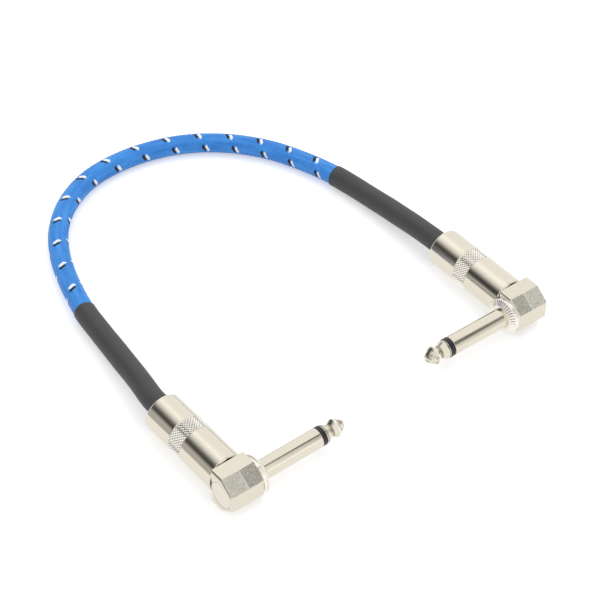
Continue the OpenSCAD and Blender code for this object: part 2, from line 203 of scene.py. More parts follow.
# A sheet over rings of points; split gives each square its diagonal, 0 for none
def gridMesh(name, points, split=None, uv=None, ends=False):
    rings, columns = points.shape[:2]
    cuts = ([(0, 1, 2, 3)], [(0, 1, 3), (1, 2, 3)], [(0, 1, 2), (0, 2, 3)])
    faces, corners = [], []
    for m in range(rings - 1):
        for k in range(columns):
            square = [(m, k), (m, k + 1), (m + 1, k + 1), (m + 1, k)]
            for cut in cuts[0 if split is None else split[m, k]]:
                face = [square[i] for i in cut]
                faces.append([i * columns + j % columns for i, j in face])
                corners.extend(face)
    if ends:
        faces.append(list(range(columns))[::-1])
        faces.append([(rings - 1) * columns + k for k in range(columns)])
        corners.extend([(0, 0)] * columns + [(rings - 1, 0)] * columns)
    mesh = bpy.data.meshes.new(name)
    mesh.from_pydata(points.reshape(-1, 3).tolist(), [], faces)
    if uv is not None:
        layer = mesh.uv_layers.new(name="weave")
        flat = np.array([uv(m, k) for m, k in corners], np.float32)
        layer.data.foreach_set("uv", flat.ravel())
    return tidyMesh(mesh)


def tidyMesh(mesh, sharpAngle=35):
    work = bmesh.new()
    work.from_mesh(mesh)
    bmesh.ops.remove_doubles(work, verts=work.verts, dist=1e-7)
    bmesh.ops.dissolve_degenerate(work, edges=work.edges, dist=1e-7)
    bmesh.ops.recalc_face_normals(work, faces=work.faces)
    work.to_mesh(mesh)
    work.free()
    mesh.shade_smooth()
    mesh.set_sharp_from_angle(angle=math.radians(sharpAngle))
    return mesh


# An outline with its corners rounded; each corner is (along, out, setback)
def rounded(corners, steps=4, closed=True):
    found = []
    count = len(corners)
    for i, (x, y, setback) in enumerate(corners):
        point = np.array([x, y], float)
        if setback == 0 or (not closed and i in (0, count - 1)):
            found.append(point)
            continue
        sides = []
        for other in (corners[i - 1], corners[(i + 1) % count]):
            way = np.array(other[:2], float) - point
            length = np.linalg.norm(way)
            sides.append(way / length * min(setback, 0.4 * length))
        start, end = point + sides[0], point + sides[1]
        found += [point + sides[0] * 1.25, start]
        for step in range(1, steps):
            t = step / steps
            found.append((1 - t) ** 2 * start + 2 * t * (1 - t) * point + t ** 2 * end)
        found += [end, point + sides[1] * 1.25]
    return np.array(found)


def offWhole(x):
    return np.abs(x - np.round(x))


# A turned piece, from an outline of (along, out) in millimetres; relief changes the radius
def lathe(name, outline, axis, columns=96, relief=None, closed=True):
    outline = np.array(outline, float)
    if closed:
        outline = np.vstack([outline, outline[:1]])
    angles = np.arange(columns) * 2 * math.pi / columns
    along = np.repeat(outline[:, 0][:, None], columns, axis=1)
    out = np.repeat(outline[:, 1][:, None], columns, axis=1)
    split = None
    if relief:
        change, split = relief(along, out, angles[None, :])
        out = out + change
    first = out * np.cos(angles)
    second = out * np.sin(angles)
    layers = (along, first, second) if axis == "barrel" else (second, along, first)
    return gridMesh(name, np.stack(layers, axis=2) * mm, split)


def addPiece(name, mesh, material, body, node, place=Matrix()):
    piece = addObject(name, mesh)
    if not mesh.materials:
        mesh.materials.append(material)
    piece.matrix_world = place
    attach(piece, body)
    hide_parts(node)
    return piece


# The same piece on both plugs
def addPair(name, mesh, material, node, moving=""):
    for side, place in plugs.items():
        body = side + "_" + moving if moving else "root"
        addPiece(side + name, mesh, material, body, side + "_" + node, place)
    print(name, "is on both plugs,", len(mesh.polygons), "faces")


# Cable: its line

cable = {
    "start": 15.5,  # along the barrel's axis, inside the plug
    "rim": 36.6, "straightNear": 38.6, "straightFar": 42.6,
    "leanStart": 20,  # from here the left cable leans to one side of its barrel
    "lean": (0.6, -0.25),  # along the plug's y and z axes
    "jacketRadius": 3.4,
    "length": 317,  # whole cable, with the ends inside the plugs
}

# Points between the barrels, in millimetres
lay = [
    (17.5, 71.5, 5.2), (7, 84, 3.9), (-3.7, 94.7, 3.7), (-15.5, 103.5, 3.5), (-27, 109.5, 3.5),
    (-40.5, 113, 3.5), (-54, 113, 3.5), (-66.5, 109.5, 3.5), (-78.5, 102.5, 3.5), (-88, 93, 3.5),
    (-94, 80.5, 3.5), (-96, 67, 3.5), (-94.5, 54, 3.5), (-90.5, 41, 3.5), (-83.9, 26.1, 3.7),
    (-76, 13, 3.9), (-67.5, -1.5, 5.2), (-63.4, -8.9, 6.2),
]


def onBarrel(side, along, aside=(0, 0)):
    return np.array(plugs[side] @ Vector((along * mm, aside[0] * mm, aside[1] * mm))) / mm


# A smooth line through the points, in steps under a tenth of a millimetre
def smoothLine(points):
    points = [2 * points[0] - points[1], *points, 2 * points[-1] - points[-2]]
    found = []
    for i in range(1, len(points) - 2):
        four = points[i - 1:i + 3]
        knots = np.concatenate([[0], np.cumsum(np.linalg.norm(np.diff(four, axis=0), axis=1) ** 0.5)])
        t = np.linspace(knots[1], knots[2], 200, endpoint=False)[:, None]

        def between(first, second, a, b):
            return ((knots[b] - t) * first + (t - knots[a]) * second) / (knots[b] - knots[a])

        thirds = [between(four[j], four[j + 1], j, j + 1) for j in range(3)]
        halves = [between(thirds[j], thirds[j + 1], j, j + 2) for j in range(2)]
        found.append(between(*halves, 1, 2))
    return np.vstack([*found, points[-2]])


rightEnd = [onBarrel("right", cable[k]) for k in ("start", "straightNear", "straightFar")]
leftEnd = [onBarrel("left", cable[k], cable["lean"]) for k in ("straightFar", "straightNear")]
leftEnd += [onBarrel("left", cable[k]) for k in ("leanStart", "start")]
line = smoothLine([*rightEnd, *[np.array(p, float) for p in lay], *leftEnd])
passed = np.concatenate([[0], np.cumsum(np.linalg.norm(np.diff(line, axis=0), axis=1))])
print("the cable is %.1f mm long" % passed[-1])


# Places along the line: centre, upward and inward directions at each distance
def lineFrames(distances):
    def at(s):
        return np.stack([np.interp(s, passed, line[:, i]) for i in range(3)], axis=1)
    distances = np.array(distances, float)
    reachOut = 0.4
    ahead = at(np.minimum(distances + reachOut, passed[-1])) - at(np.maximum(distances - reachOut, 0))
    ahead /= np.linalg.norm(ahead, axis=1)[:, None]
    inward = np.cross([0, 0, 1], ahead)
    inward /= np.linalg.norm(inward, axis=1)[:, None]
    return at(distances), np.cross(ahead, inward), inward


# Rings of points round the line; radii and angles have one row for each distance
def ringsRound(distances, radii, angles):
    centre, up, inward = lineFrames(distances)
    return (
        centre[:, None, :]
        + (radii * np.cos(angles))[:, :, None] * up[:, None, :]
        + (radii * np.sin(angles))[:, :, None] * inward[:, None, :]
    ) * mm


def distanceOf(point):
    return passed[np.argmin(np.linalg.norm(line - np.array(point), axis=1))]


# where the tubes end on the jacket
shrinkEnds = (distanceOf(lay[2]), distanceOf(lay[-4]))


# Cable: braided jacket

braid = {
    "carriers": 8,  # strands each way round
    "pitch": 11.47,  # length of one turn of a strand
    "cellSteps": 8,  # mesh squares across one strand
    "relief": 0.17,
    "phaseStart": 82.94,  # distance at which strand 0 starts its turn
    "rowAngle": -30,  # where the rows of floats lie there, in degrees from the top
    "rowTwist": -0.107,  # and how they turn along the cable, in degrees per millimetre
    "slip": 1.4,  # the braid is pushed along by so much in the bend
    "slipPlace": 138, "slipWidth": 32,
    "blue": (0.072, 0.375, 0.92),
    "deepBlue": (0.022, 0.175, 0.61),
    "white": (0.96, 0.965, 0.97),
    "black": (0.008, 0.008, 0.015),
    "yarns": 5,  # threads that show in one strand
    "markEnds": (0.46, 0.41),  # of a mark, from the middle of its float
    "whiteEdge": (0.12, 0.24),  # and its edge across the strand
    "blackEdge": (0.90, 0.80),
    "streakStretch": 0.045,  # of the tone's streaks along the cable
    "tone": (0.6, 0.5, 1.6),  # shares of clouds, fibres and streaks in it
    "toneLow": 0.85,
    "threadBump": 0.03 * mm,
}


def braidAngle(distances):
    turned = braid["rowAngle"] + braid["rowTwist"] * (np.array(distances) - braid["phaseStart"])
    return np.radians(turned)[:, None]


# Two over, two under: is the first family's strand on top in cell (a, b)?
def firstOnTop(a, b):
    return (a + b) % 4 < 2


def braidMaterial():
    look = Look("braidedJacket")
    weave = look.node("UVMap", {"uv_map": "weave"}, [])
    across = look.split(weave, "X")
    along = look.split(weave, "Y")
    first = across + along
    second = across - along
    firstIndex = first.sum("FLOOR")
    secondIndex = second.sum("FLOOR")
    onTop = (firstIndex + secondIndex) % 4 < 1.5
    strand = firstIndex % braid["carriers"]
    run = ((firstIndex + secondIndex) % 4 + second.sum("FRACT")) * 0.5  # along a strand that is on top
    isMark = onTop * look.step(abs(run - 0.5), *braid["markEnds"])
    acrossMark = first.sum("FRACT")
    isWhite = isMark * (strand < 0.5) * look.step(acrossMark, *braid["whiteEdge"])
    isBlack = isMark * (strand > 0.5) * (strand < 1.5) * look.step(acrossMark, *braid["blackEdge"])
    place = look.place()
    cloudy = look.noise(place, 0.35, 4)
    fibres = look.noise(place, 9, 2)
    turn = across * (2 * math.pi / braid["carriers"])
    around = [turn.sum("COSINE"), turn.sum("SINE"), along * braid["streakStretch"]]
    lengthwise = look.noise(look.node("CombineXYZ", {}, around), 2.6, 3, 0.6)
    clouds, fine, streaks = braid["tone"]
    tone = cloudy * clouds + fibres * fine + lengthwise * streaks - braid["toneLow"]
    colour = look.mix(tone.sum("MINIMUM", 1).sum("MAXIMUM", 0), braid["deepBlue"], braid["blue"])
    colour = look.mix(isWhite, colour, braid["white"])
    colour = look.mix(isBlack, colour, braid["black"])
    inStrand = onTop * first.sum("FRACT") + (1 - onTop) * second.sum("FRACT")
    threads = (inStrand * (2 * math.pi * braid["yarns"])).sum("COSINE") * 0.5 + 0.5
    height = threads * 0.6 + fibres * 0.5
    return look.finish({
        "Base Color": colour,
        "Roughness": 0.46 + cloudy * 0.16,
        "Specular IOR Level": 0.35,
        "Sheen Weight": 0.12,
        "Sheen Roughness": 0.4,
        "Normal": look.bump(height, braid["threadBump"], 0.8),
    })


def makeJacket():
    cells, phase = braid["cellSteps"], braid["phaseStart"]
    columns = braid["carriers"] * cells
    step = braid["pitch"] / columns
    hidden = 2.5  # how far the woven mesh goes on under the tubes
    firstRing = math.floor((shrinkEnds[0] - hidden - phase) / step)
    lastRing = math.ceil((shrinkEnds[1] + hidden - phase) / step)
    even = phase + np.arange(firstRing, lastRing + 1) * step
    woven = even - braid["slip"] * np.exp(-((even - braid["slipPlace"]) / braid["slipWidth"]) ** 2)
    before = np.linspace(0, woven[0], 24)[:-1]
    after = np.linspace(woven[-1], passed[-1], 24)[1:]
    distances = np.concatenate([before, woven, after])
    ringNumbers = (np.concatenate([before, even, after]) - phase) / step
    k = np.arange(columns)[None, :]
    first = (k + ringNumbers[:, None]) / cells
    second = (k - ringNumbers[:, None]) / cells
    height = np.zeros_like(first)
    nudge = 1e-6
    for family, other, isFirst in ((first, second, True), (second, first, False)):
        index = np.floor(family + nudge)
        crossed = np.floor(other + nudge)
        over = firstOnTop(index, crossed) == isFirst
        start = (index + crossed) % 4 - (0 if isFirst else 2)
        run = (start + other - crossed) / 2
        crown = np.clip(1 - (2 * (family - index) - 1) ** 2, 0, 1) ** 0.5
        arch = np.clip(np.sin(math.pi * np.clip(run, 0, 1)), 0, 1) ** 0.45
        height = np.where(over, crown * arch, height)
    isWoven = (distances >= woven[0]) & (distances <= woven[-1])
    radii = cable["jacketRadius"] - braid["relief"] + braid["relief"] * height * isWoven[:, None]
    angles = braidAngle(distances) + k * 2 * math.pi / columns
    split = np.zeros((len(distances) - 1, columns), int)
    for row in range(len(before), len(before) + len(woven) - 1):
        number = int(round(ringNumbers[row]))
        firstCell, along = np.divmod(k[0] + number + 1, cells)
        secondCell, across = np.divmod(k[0] - number, cells)
        split[row] = np.where(firstOnTop(firstCell, secondCell), 1, 2)
        split[row][along == 0] = 1
        split[row][across == 0] = 2
    mesh = gridMesh(
        "braidedJacket", ringsRound(distances, radii, angles), split,
        lambda m, column: (column / cells, ringNumbers[m] / cells), True,
    )
    jacket = addPiece("braidedJacket", mesh, braidMaterial(), "root", "braided_jacket")
    print("the jacket is braided,", len(mesh.polygons), "faces")
    return jacket


# Cable: heat-shrink tubes

shrink = {
    "outRadius": 3.65, "inRadius": 3.42,
    "ringStep": 0.9, "columns": 64,
    "lip": 0.1,
    "grey": (0.050, 0.050, 0.052),
    "paleGrey": (0.072, 0.072, 0.074),
}


def shrinkMaterial():
    look = Look("heatShrink")
    place = look.place()
    cloudy = look.noise(place, 0.18, 4)
    grain = look.noise(place, 5, 3)
    speckle = look.noise(place, 22, 2)
    weave = look.node("UVMap", {"uv_map": "weave"}, [])
    across = look.split(weave, "X")
    along = look.split(weave, "Y")
    ridges = (across + along).sum("PINGPONG", 0.5) * (across - along).sum("PINGPONG", 0.5)
    height = grain * 0.5 + speckle * 0.35 + ridges * 0.5
    return look.finish({
        "Base Color": look.mix(cloudy * 0.7 + grain * 0.35, shrink["grey"], shrink["paleGrey"]),
        "Roughness": 0.47 + cloudy * 0.16,
        "Specular IOR Level": 0.42,
        "Normal": look.bump(height, 0.035 * mm, 0.55),
    })


# A tube over one end of the jacket, from inside the plug to where the braid comes out
def makeShrink(side, start, end, material):
    outer, inner, small = shrink["outRadius"], shrink["inRadius"], shrink["lip"]
    rings = int(abs(end - start) / shrink["ringStep"])
    way = 1 if end > start else -1
    body = list(np.linspace(start, end - way * 3 * small, rings))
    lip = [end - way * small * t for t in (2, 1, 0.3, 0)]
    inside = [end, *body[::-6]]
    distances = np.array([*body, *lip, *inside, start])
    lipFall = small * np.array([0, 0.08, 0.45, 0.95])
    radii = np.array([*[outer] * rings, *(outer - lipFall), *[inner] * len(inside), outer])
    k = np.arange(shrink["columns"])[None, :]
    turns = k * 2 * math.pi / shrink["columns"] + braidAngle(distances)
    # shrunk down unevenly: long shallow waves that fade out towards both ends
    waves = (
        0.028 * np.sin(0.21 * distances[:, None] + 2 * turns)
        + 0.022 * np.sin(0.47 * distances[:, None] - 3 * turns + 1)
    )
    isOuter = (radii > inner + 0.01)[:, None]
    ragged = 0.12 * np.sin(2 * turns + 0.7) + 0.07 * np.sin(5 * turns)
    nearEnd = np.clip(1 - np.abs(distances - end) / 2, 0, 1)[:, None]
    spread = ringsRound(distances, radii[:, None] + waves * isOuter * (1 - nearEnd), turns)
    centre, up, inward = lineFrames(distances)
    ahead = np.cross(inward, up) * way
    spread -= (0.5 * ragged * nearEnd * mm)[:, :, None] * ahead[:, None, :]
    mesh = gridMesh(
        side + "HeatShrink", spread, None,
        lambda m, column: (
            column * braid["carriers"] / shrink["columns"],
            (distances[m] - braid["phaseStart"]) / braid["pitch"] * braid["carriers"],
        ),
    )
    return addPiece(side + "HeatShrink", mesh, material, "root", side + "_heat_shrink")


jacket = makeJacket()
shrinkLook = shrinkMaterial()
tubes = [
    makeShrink("right", 0, shrinkEnds[0], shrinkLook),
    makeShrink("left", passed[-1], shrinkEnds[1], shrinkLook),
]
pathSteps = np.arange(0, passed[-1], 2).tolist() + [passed[-1]]
onBarrel("right", cable["rim"]) * mm
(lineFrames(pathSteps)[0] * mm).tolist()
print("the cable lies on its route")


# Nickel plate

nickel = {
    "warm": (0.812, 0.750, 0.622),
    "cool": (0.795, 0.748, 0.640),
    "worn": (0.740, 0.675, 0.560),
    "cast": ((0.47, 0.455, 0.40), (0.73, 0.70, 0.61)),  # dark and light spots of the cast skin, darker overall than the plate, partly as painted shade
    "castShadedNear": ((0.32, 0.31, 0.265), (0.66, 0.63, 0.545)),  # painted shade: darker, on the half next to the shaft
    # pale colour for painted highlights on rims, edges and the parting line, for painted light behind the collar,
    # and for the cap's paler tone
    "edge": (0.95, 0.94, 0.91),
    # painted shade in the gap between the elbow and the barrel
    "recessShade": (0.012, 0.011, 0.010),
    "recessAside": (2.2, 3.4),  # distance from the plug's middle plane where the gap's painted shade starts
    "shadeQuarters": (6, -4),  # and the product of y and z below which it is painted dark
    "smudgeScale": 0.13, "cloudScale": 0.7, "pitScale": 6,
    "lines": 14,  # turning lines, in a millimetre
    "bump": 0.004 * mm,
}


# Plated metal; grain is how strongly the turning lines show, mottle the cast skin, and
# extra changes its colour, roughness and height and gives how metallic it is
def nickelMaterial(name, axis, roughness, grain, mottle, extra):
    look = Look(name)
    place = look.place()
    smudge = look.noise(place, nickel["smudgeScale"], 4, 0.6)
    cloud = look.noise(place, nickel["cloudScale"], 3)
    lines = look.node(
        "TexNoise", {"noise_dimensions": "1D"},
        {"W": look.split(place, axis) * nickel["lines"], "Scale": 1, "Detail": 2}, "Fac",
    )
    pits = look.noise(place, nickel["pitScale"], 3, 0.7)
    colour = look.mix(smudge, nickel["warm"], nickel["cool"])
    colour = look.mix((cloud - 0.45).sum("MAXIMUM", 0) * 0.8 * mottle, colour, nickel["worn"])
    height = lines * grain + pits * mottle
    rough = roughness + (smudge - 0.5) * 0.12 + (lines - 0.5) * 0.06 * grain
    colour, rough, height, metallic = extra(look, place, colour, rough, height)
    return look.finish({
        "Base Color": colour,
        "Metallic": metallic,
        "Roughness": rough,
        "Normal": look.bump(height, nickel["bump"], 0.6),
    })


# Painted shade in the gap between the elbow and the barrel: it lies in two opposite quarters,
# where y times z is negative
def shadeQuarters(look, across, up):
    aside = look.step(abs(up), *nickel["recessAside"])
    return aside * look.step(across * up, *nickel["shadeQuarters"])


# Barrels

barrel = {
    "radius": 6.5, "bore": 4.97, "holeRadius": 4.4, "rearWall": 2,
    "frontBevel": 0.4, "rearRound": 0.7,
    "knurlFromRear": 11.8, "knurlWidth": 5.2,
    "around": 40, "rows": 5,
    "cellSteps": 8,
    "grooveDepth": 0.3,
    "grooveShare": 0.5,  # of a diamond, from the groove's bottom to its edge
    "roughness": 0.125,
    # painted highlight on the knurl's diamonds and painted shade in its grooves
    "ridge": (0.99, 0.96, 0.885),
    "groove": (0.19, 0.175, 0.15),
    "grooveShadeEdge": (0.01, 0.11),  # from a groove's middle, where its painted shade ends
    "rimAlong": (-0.5, -0.34),  # from the rear face, where the rim's painted highlight starts; it is rougher and less metallic too
    "rimOut": (5.75, 5.9),
    "rimRough": 0.3, "rimMetallic": 0.25,
    "faceAlong": (0.14, 0.07),  # from the front face, where its painted shade ends
}


# Painted highlight on the knurl's diamonds and painted shade in its grooves, a painted highlight
# on the pale rear rim, and painted shade in two quarters of the front face
def barrelMarks(start, end, front, rear):
    def extra(look, place, colour, rough, height):
        along, across, up = look.axes(place)
        turn = up.sum("ARCTAN2", across) * (barrel["around"] / (2 * math.pi))
        rows = (along - start) * (barrel["rows"] / barrel["knurlWidth"])
        near = (turn + rows).sum("PINGPONG", 0.5).sum("MINIMUM", (turn - rows).sum("PINGPONG", 0.5))
        inBand = (along > start) * (along < end)
        # painted highlight on the diamonds, painted shade in the grooves
        knurl = look.mix(look.step(near, *barrel["grooveShadeEdge"]), barrel["groove"], barrel["ridge"])
        colour = look.mix(inBand, colour, knurl)
        # painted highlight on the rear rim: pale, rougher and less metallic
        rim = look.step(along - rear, *barrel["rimAlong"])
        rim = rim * look.step(look.radius(across, up), *barrel["rimOut"])
        colour = look.mix(rim, colour, nickel["edge"])
        # painted shade on the front face, in the gap against the elbow
        under = look.step(along - front, *barrel["faceAlong"]) * shadeQuarters(look, across, up)
        colour = look.mix(under, colour, nickel["recessShade"])
        return colour, rough + rim * barrel["rimRough"], height, 1 - rim * (1 - barrel["rimMetallic"])

    return extra


def barrelRelief(start, end):
    around = barrel["around"]
    rowLength = barrel["knurlWidth"] / barrel["rows"]

    def groove(x):
        return np.clip(1 - offWhole(x) / barrel["grooveShare"], 0, 1)

    def relief(along, out, angle):
        inBand = (along > start - 1e-6) & (along < end + 1e-6) & (out > barrel["radius"] - 0.01)
        first = around * angle / (2 * math.pi) + (along - start) / rowLength
        second = around * angle / (2 * math.pi) - (along - start) / rowLength
        cut = np.maximum(groove(first), groove(second))
        steps = barrel["cellSteps"]
        offFirst = offWhole((np.round(first[:-1] * steps) + 1) / steps)
        offSecond = offWhole(np.round(second[:-1] * steps) / steps)
        split = np.where(inBand[:-1] & inBand[1:], np.where(offFirst < offSecond, 1, 2), 0)
        return np.where(inBand, 0.04 - cut * barrel["grooveDepth"], 0), split

    return relief


def makeBarrels():
    low, high = reach("barrel")
    front, rear = low[0], high[0]
    bandEnd = rear - barrel["knurlFromRear"]
    bandStart = bandEnd - barrel["knurlWidth"]
    radius, bore, hole = barrel["radius"], barrel["bore"], barrel["holeRadius"]
    wallStart = rear - barrel["rearWall"]
    shape = rounded([
        (front, bore, 0.1),
        (front, radius - barrel["frontBevel"], 0.1),
        (front + barrel["frontBevel"], radius, 0.15),
        (bandStart - 0.8, radius, 0),
    ], closed=False)[1:]
    bandSteps = np.linspace(bandStart, bandEnd, barrel["rows"] * barrel["cellSteps"] + 1)
    back = rounded([
        (rear - 1.4, radius, 0),
        (rear, radius, barrel["rearRound"]),
        (rear, hole, 0.2), (wallStart, hole, 0.15), (wallStart, bore, 0.1),
        (front, bore, 0.1),
    ], steps=6, closed=False)
    outline = [
        *shape, *[(bandStart - beside, radius) for beside in (0.4, 0.32, 0.28)],
        (bandStart - 0.12, radius - 0.1), *[(u, radius) for u in bandSteps],
        (bandEnd + 0.12, radius - 0.1),
        *[(bandEnd + beside, radius) for beside in (0.28, 0.32, 0.4, 0.8)],
        *back,
    ]
    mesh = lathe("barrel", outline, "barrel", barrel["around"] * barrel["cellSteps"],
                 barrelRelief(bandStart, bandEnd))
    marks = barrelMarks(bandStart, bandEnd, front, rear)
    look = nickelMaterial("turnedNickel", "X", barrel["roughness"], 1.0, 0.0, marks)
    addPair("Barrel", mesh, look, "barrel", "barrel_body")


makeBarrels()


# Elbows

elbow = {
    "underBarrel": 4.2,  # the flat face that the barrel screws up to
    "sideHeight": 6, "flatWidth": 5.1,
    "draft": 1, "endChamfer": 0.45, "edge": 0.16,
    "seat": 4.35,
    "seatOffset": 0.45,  # of the cap's centre, away from the barrel
    "seatDepth": 1.2,
    "chamber": 3.6, "chamberFloor": 2.5, "spigotHole": 3.0, "neckBore": 3.8,
    "threadCrest": 4.9, "threadRoot": 4.36, "threadPitch": 1.0,
    "roughness": 0.17,
}


# The faceted section at a distance from the parting line, inset all round
def elbowSection(along, inset, raised, low, high):
    top = high[2]
    side = -low[0]
    flatEdge = elbow["underBarrel"] - elbow["flatWidth"]
    slant = math.pi - math.atan2(side + flatEdge, top - elbow["sideHeight"] / 2)
    slantDistance = -side * math.cos(slant) + elbow["sideHeight"] / 2 * math.sin(slant)
    fall = math.tan(math.radians(elbow["draft"])) * abs(along) - raised
    faces = [
        (0, elbow["underBarrel"]), (math.pi / 2, top), (slant, slantDistance - fall),
        (math.pi, side - fall), (2 * math.pi - slant, slantDistance - fall), (1.5 * math.pi, top),
    ]
    corners = []
    for i, (angle, distance) in enumerate(faces):
        nextAngle, nextDistance = faces[(i + 1) % len(faces)]
        normals = np.array([[math.cos(a), math.sin(a)] for a in (angle, nextAngle)])
        u, w = np.linalg.solve(normals, [distance - inset, nextDistance - inset])
        corners.append((u, w, elbow["edge"]))
    return rounded(corners, steps=3)


# The outline with more places on it, none further apart than the limit
def resampled(outline, counts=None, limit=0.5):
    ahead = np.roll(outline, -1, axis=0)
    if counts is None:
        counts = np.maximum(np.ceil(np.linalg.norm(ahead - outline, axis=1) / limit), 1).astype(int)
    found = []
    for here, there, count in zip(outline, ahead, counts):
        found.extend(here + (there - here) * i / count for i in range(count))
    return np.array(found), counts


def makeElbowBlock(low, high):
    back, front = low[1], high[1]
    chamfer = elbow["endChamfer"]
    ridge = 0.04
    endSteps = [
        (0, chamfer + 0.12), (0, chamfer + 0.03), (0.03, chamfer - 0.03),
        (chamfer - 0.03, 0.03), (chamfer + 0.04, 0), (chamfer + 0.15, 0),
    ]
    middle = [(-0.22, 0), (-0.12, 0), (-0.06, ridge), (0.06, ridge), (0.12, 0), (0.22, 0)]
    stations = [(back + step, inset, 0) for step, inset in endSteps]
    stations += [(along, 0, raised) for along, raised in middle]
    stations += [(front - step, inset, 0) for step, inset in endSteps[::-1]]
    rings = []
    counts = None
    for along, inset, raised in stations:
        section, counts = resampled(elbowSection(along, inset, raised, low, high), counts)
        rings.append([(u, along, w) for u, w in section])
    offset = elbow["seatOffset"]
    bearing = [math.atan2(w, u) for u, along, w in rings[0]]
    seatBearing = [math.atan2(w, u + offset) for u, along, w in rings[0]]
    hole, chamber, seat = elbow["spigotHole"], elbow["chamber"], elbow["seat"]
    floor, ledge = elbow["chamberFloor"], back + elbow["seatDepth"]
    holes = [
        (front, hole + 0.1), (front, hole + 0.04), (front - 0.04, hole), (floor, hole),
        (floor, chamber), (ledge, chamber),
    ]
    seats = [(ledge, seat), (back + 0.05, seat), (back, seat + 0.05), (back, seat + 0.12)]
    for along, radius in holes:
        rings.append([(radius * math.cos(a), along, radius * math.sin(a)) for a in bearing])
    for along, radius in seats:
        rings.append([(radius * math.cos(a) - offset, along, radius * math.sin(a)) for a in seatBearing])
    rings.append(rings[0])
    return gridMesh("elbowBlock", np.array(rings) * mm)


def neckRelief(start, end):
    depth = elbow["threadCrest"] - elbow["threadRoot"]

    def relief(along, out, angle):
        phase = (along - start) / elbow["threadPitch"] - angle / (2 * math.pi)
        tooth = np.clip(1.15 - 2.3 * np.abs(phase - np.floor(phase) - 0.5), 0.04, 1) ** 0.9
        fade = np.clip((end - 0.25 - along) / 0.5, 0, 1) * np.clip((along - start) / 0.3, 0, 1)
        isOuter = np.abs(out - elbow["threadRoot"]) < 0.01
        return np.where(isOuter, depth * tooth * fade, 0), None

    return relief


def booleanOf(target, tool, operation):
    modifier = target.modifiers.new(operation, "BOOLEAN")
    modifier.object = tool
    modifier.operation = operation
    modifier.solver = "EXACT"
    evaluated = target.evaluated_get(bpy.context.evaluated_depsgraph_get())
    mesh = bpy.data.meshes.new_from_object(evaluated)
    target.modifiers.clear()
    target.data = mesh
    bpy.data.objects.remove(tool)


cast = {
    "slant": 0.3,  # least product of x and z of a slanted face's normal
    "shaftward": (-0.1, 0.1),
    "blotchScale": 2.4, "streakScale": 2.2,
    "streakStretch": (1, 4, 1),
    "toneMiddle": 0.835, "toneContrast": 3.4,
    "parting": (0.14, 0.08),  # half width of the painted highlight on the parting line
    "partingShare": 0.8,
    "upperPaintedLight": 0.2,  # painted light: the half with z above 0 is paler by this share
    "rough": 0.12, "pits": 2,
    "recessIn": (-0.07, -0.02),  # where the gap's painted shade lies, from the face under the barrel
    "recessOut": (1.4, 0.9),
    "recessRim": (6.35, 6.2),
    "endAlong": (5.4, 5.55),  # the shaft's end of the elbow, painted pale and made less metallic, as painted light in the crevice by the collar
    "endPaintedLight": 0.8, "endMetallic": 0.4,
}


# The slanted faces are left as cast, with painted shade on the half next to the shaft, painted
# light on the half with z above 0 and a painted highlight on the parting line. The face under the
# barrel has painted shade in two quarters, and the face behind the shaft's collar is painted pale, as painted
# light
def elbowMarks(look, place, colour, rough, height):
    along, across, up = look.axes(place)
    facing = look.node("TexCoord", {}, [], "Normal")
    slant = abs(look.split(facing, "X") * look.split(facing, "Z")) > cast["slant"]
    blotches = look.noise(place, cast["blotchScale"], 4, 0.65)
    stretched = look.node("Mapping", {}, {"Vector": place, "Scale": cast["streakStretch"]})
    streaks = look.noise(stretched, cast["streakScale"], 3)
    tone = (blotches + streaks - cast["toneMiddle"]) * cast["toneContrast"]
    tone = tone.sum("MAXIMUM", 0).sum("MINIMUM", 1)
    away = look.mix(tone, *nickel["cast"])
    near = look.mix(tone, *nickel["castShadedNear"])
    # painted shade on the half next to the shaft
    castSkinAndPaintedLight = look.mix(look.step(across, *cast["shaftward"]), away, near)
    # painted highlight on the parting line
    parting = look.step(abs(across), *cast["parting"]) * cast["partingShare"]
    castSkinAndPaintedLight = look.mix(parting, castSkinAndPaintedLight, nickel["edge"])
    # painted light on the half with z above 0
    paintedLight = 1 + (up > 0) * cast["upperPaintedLight"]
    castSkinAndPaintedLight = look.node("VectorMath", {"operation": "SCALE"}, {0: castSkinAndPaintedLight, "Scale": paintedLight})
    colour = look.mix(slant, colour, castSkinAndPaintedLight)
    along = along - elbow["underBarrel"]
    # painted shade on the face under the barrel, in the gap
    under = look.step(along, *cast["recessIn"]) * look.step(along, *cast["recessOut"])
    under = under * look.step(look.radius(across, up), *cast["recessRim"])
    colour = look.mix(under * shadeQuarters(look, across, up), colour, nickel["recessShade"])
    # painted light on the shaft's end of the elbow, in the crevice by the collar
    end = look.step(across, *cast["endAlong"])
    colour = look.mix(end * cast["endPaintedLight"], colour, nickel["edge"])
    rough = rough + slant * cast["rough"]
    height = height + blotches * slant * cast["pits"]
    return colour, rough, height, 1 - end * (1 - cast["endMetallic"])


